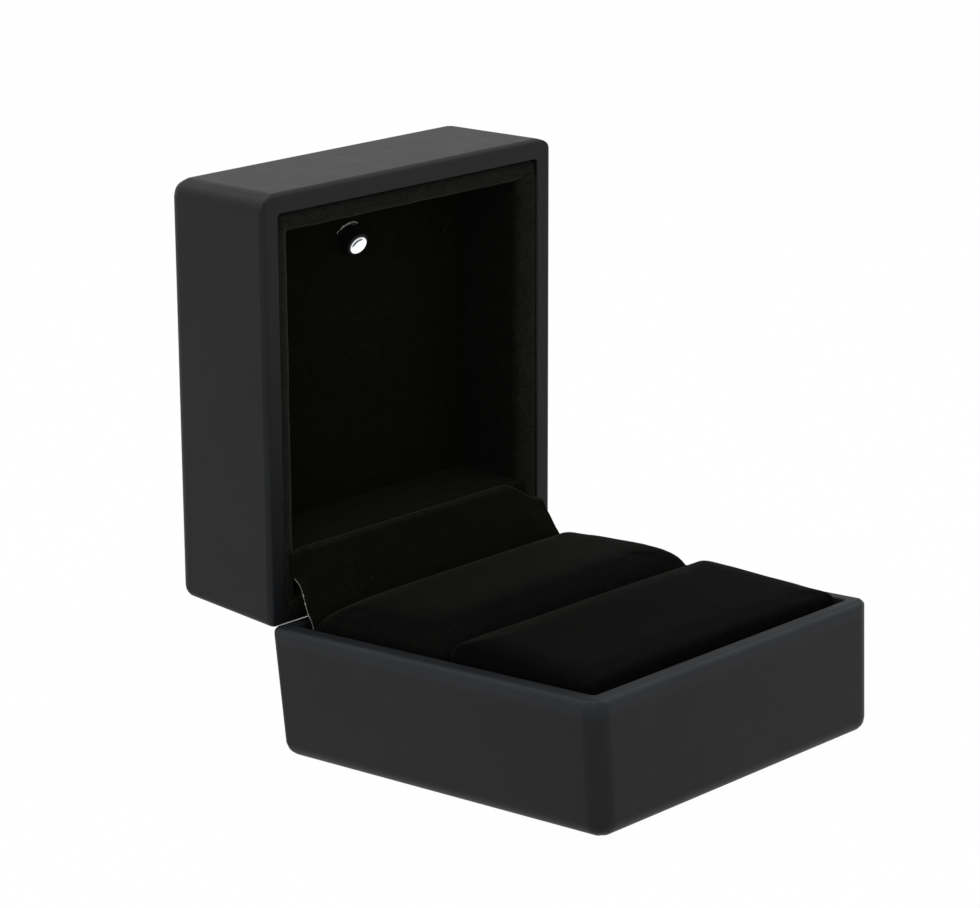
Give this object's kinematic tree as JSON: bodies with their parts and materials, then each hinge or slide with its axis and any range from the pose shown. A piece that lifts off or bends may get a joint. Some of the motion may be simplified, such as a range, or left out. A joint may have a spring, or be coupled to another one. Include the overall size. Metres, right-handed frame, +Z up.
{
  "type": "lighted ring display box",
  "caption": "Hinged ring display box with velvet ring pads, a deep lined lid and a small lamp in the lid.",
  "frame": {"origin": "middle of the base's flat underside", "axes": "+X to the right along the hinge, +Y from the front to the hinge side, +Z up; the lid stands open at rest"},
  "size_m": [0.06, 0.0856, 0.0855],
  "materials": {
    "soft_touch_shell": "soft-touch matt paint",
    "velvet": "black velvet",
    "foam": "dense foam",
    "card": "plain board",
    "black_card": "black flocked board",
    "hinge_steel": "plain pressed steel",
    "screw_steel": "bright zinc",
    "lamp_clear": "clear lit dome",
    "sleeve_rubber": "matt black sleeve",
    "tinned_wire": "tinned",
    "board_green": "solder mask",
    "cell_steel": "nickel plated",
    "contact_brass": "spring brass",
    "magnet_nickel": "nickel plated",
    "resistor_black": "chip resistor",
    "reed_glass": "greenish glass",
    "wire_red": "insulated wire"
  },
  "bodies": {
    "base": {"base_shell": "soft_touch_shell", "floor_card": "card", "card_surround": "black_card", "rear_pad_core": "foam", "front_pad_core": "foam", "rear_ring_pad": "velvet", "front_ring_pad": "velvet", "hinge_base_leaf": "hinge_steel", "hinge_base_screws": "screw_steel", "hinge_pin": "screw_steel", "hinge_ribbon": "velvet", "switch_magnet": "magnet_nickel"},
    "lid": {"lid_shell": "soft_touch_shell", "lining_card": "card", "lining_velvet": "velvet", "back_panel_card": "card", "back_panel_velvet": "velvet", "lamp": "lamp_clear", "lamp_sleeve": "sleeve_rubber", "lamp_leads": "tinned_wire", "circuit_board": "board_green", "board_screws": "screw_steel", "button_cells": "cell_steel", "cell_straps": "contact_brass", "strap_rivets": "tinned_wire", "resistor": "resistor_black", "reed_switch": "reed_glass", "reed_holder": "sleeve_rubber", "reed_wires": "wire_red", "hinge_lid_leaf": "hinge_steel", "hinge_lid_screws": "screw_steel"}
  },
  "joints": [
    {"name": "lid_hinge", "type": "hinge", "parent": "base", "child": "lid", "pos_m": [0, 0.03215, 0.02], "axis": [1, 0, 0], "range_deg": [0, 85.5], "deforming": ["rear_ring_pad", "front_ring_pad", "hinge_ribbon"]}
  ]
}
